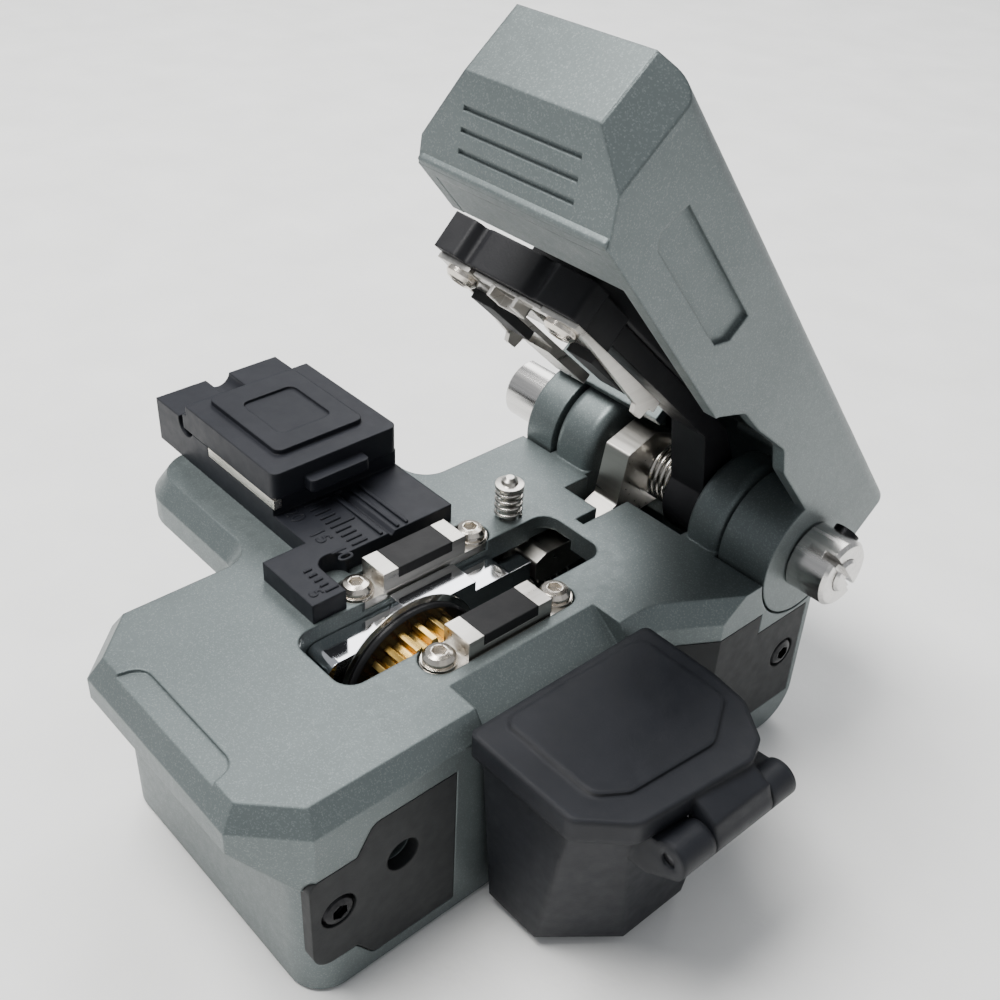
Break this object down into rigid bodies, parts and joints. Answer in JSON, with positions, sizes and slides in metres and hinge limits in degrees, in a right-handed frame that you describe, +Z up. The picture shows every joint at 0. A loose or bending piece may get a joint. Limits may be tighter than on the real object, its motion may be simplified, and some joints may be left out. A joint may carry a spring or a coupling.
{
  "type": "fibre cleaver",
  "caption": "Bench fibre cleaver: an open lid with a pad arm, a sliding round blade, clamping anvils, a wing with a fibre holder, and a lidded scrap bin.",
  "frame": {"origin": "on the underside of the rubber sole, at the middle of the body's width, 37.3 mm behind the front edge of the deck", "axes": "+X to the user's right, +Y away from the user towards the hinge, +Z up"},
  "size_m": [0.085, 0.0852, 0.0866],
  "materials": {
    "body_paint": "satin metallic grey-green paint",
    "lid_paint": "satin metallic grey-green paint",
    "cover_plastic": "fine matt moulding",
    "bottom_paint": "matt black paint",
    "black_screws": "black oxide",
    "bright_screws": "nickel",
    "sole_rubber": "matt",
    "anvil_steel": "ground",
    "pad_rubber": "smooth",
    "rail_steel": "ground",
    "carriage_steel": "polished",
    "spring_steel": "drawn wire",
    "shaft_steel": "turned",
    "blade_steel": "polished",
    "hub_black": "gloss black",
    "gear_brass": "cut",
    "plunger_steel": "satin",
    "arm_plastic": "moulded",
    "holder_plastic": "black anodised",
    "strip_steel": "bare",
    "pin_steel": "plain",
    "bin_plastic": "fine matt moulding"
  },
  "bodies": {
    "base": {"base_body": "body_paint", "bottom_cover": "bottom_paint", "front_side_cover": "cover_plastic", "rear_side_cover": "cover_plastic", "cover_screws": "black_screws", "bottom_screws": "bright_screws", "rubber_sole": "sole_rubber", "lower_anvil_left": "anvil_steel", "lower_anvil_right": "anvil_steel", "lower_pads": "pad_rubber", "anvil_washers": "bright_screws", "anvil_screws": "bright_screws", "guide_rail": "rail_steel", "carriage_spring": "spring_steel", "plunger_spring": "spring_steel", "fibre_holder": "holder_plastic", "holder_strip": "strip_steel", "holder_lid_pin": "pin_steel", "scrap_bin": "bin_plastic", "scrap_hinge_pin": "pin_steel"},
    "lid": {"lid_shell": "lid_paint", "hinge_shaft": "shaft_steel", "shaft_collar_right": "shaft_steel", "shaft_collar_left": "shaft_steel", "collar_set_screw": "black_screws", "return_lever": "plunger_steel", "torsion_spring": "spring_steel"},
    "arm": {"pad_arm": "arm_plastic", "upper_anvil_left": "anvil_steel", "upper_anvil_right": "anvil_steel", "upper_pads": "pad_rubber", "upper_screws": "bright_screws"},
    "carriage": {"blade_carriage": "carriage_steel", "carriage_spring_post": "carriage_steel", "blade_axle": "shaft_steel"},
    "blade_wheel": {"blade_disc": "blade_steel", "blade_hub": "hub_black", "blade_gear": "gear_brass"},
    "plunger": {"plunger_pin": "plunger_steel"},
    "clamp_lid": {"holder_lid": "holder_plastic"},
    "bin_lid": {"scrap_lid": "bin_plastic"}
  },
  "joints": [
    {"name": "lid_hinge", "type": "hinge", "parent": "base", "child": "lid", "pos_m": [0, 0.0314, 0.0268], "axis": [1, 0, 0], "range_deg": [0, 51], "stiffness_Nm_per_rad": 0.02, "springref_deg": -68.75},
    {"name": "arm_pivot", "type": "hinge", "parent": "lid", "child": "arm", "pos_m": [0, 0.0314, 0.0268], "axis": [1, 0, 0], "range_deg": [-6.4, 0]},
    {"name": "carriage_slide", "type": "slide", "parent": "base", "child": "carriage", "axis": [0, 1, 0], "range_m": [0, 0.01255], "deforming": ["carriage_spring"]},
    {"name": "blade_turn", "type": "hinge", "parent": "carriage", "child": "blade_wheel", "pos_m": [0.0021, -0.0098, 0.0185], "axis": [1, 0, 0], "continuous": true},
    {"name": "plunger_press", "type": "slide", "parent": "base", "child": "plunger", "axis": [0, 0, -1], "range_m": [0, 0.00302], "deforming": ["plunger_spring"]},
    {"name": "holder_lid_hinge", "type": "hinge", "parent": "base", "child": "clamp_lid", "pos_m": [-0.0373, 0, 0.0313], "axis": [0, -1, 0], "range_deg": [0, 80]},
    {"name": "bin_lid_hinge", "type": "hinge", "parent": "base", "child": "bin_lid", "pos_m": [0.0388, 0, 0.0215], "axis": [0, 1, 0], "range_deg": [0, 105]}
  ],
  "couplings": [
    {"joint": "arm_pivot", "follows": "lid_hinge", "ratio": -0.12353},
    {"joint": "carriage_slide", "follows": "lid_hinge", "m_per_rad": 0.014043},
    {"joint": "plunger_press", "follows": "lid_hinge", "m_per_rad": 0.0033703}
  ]
}
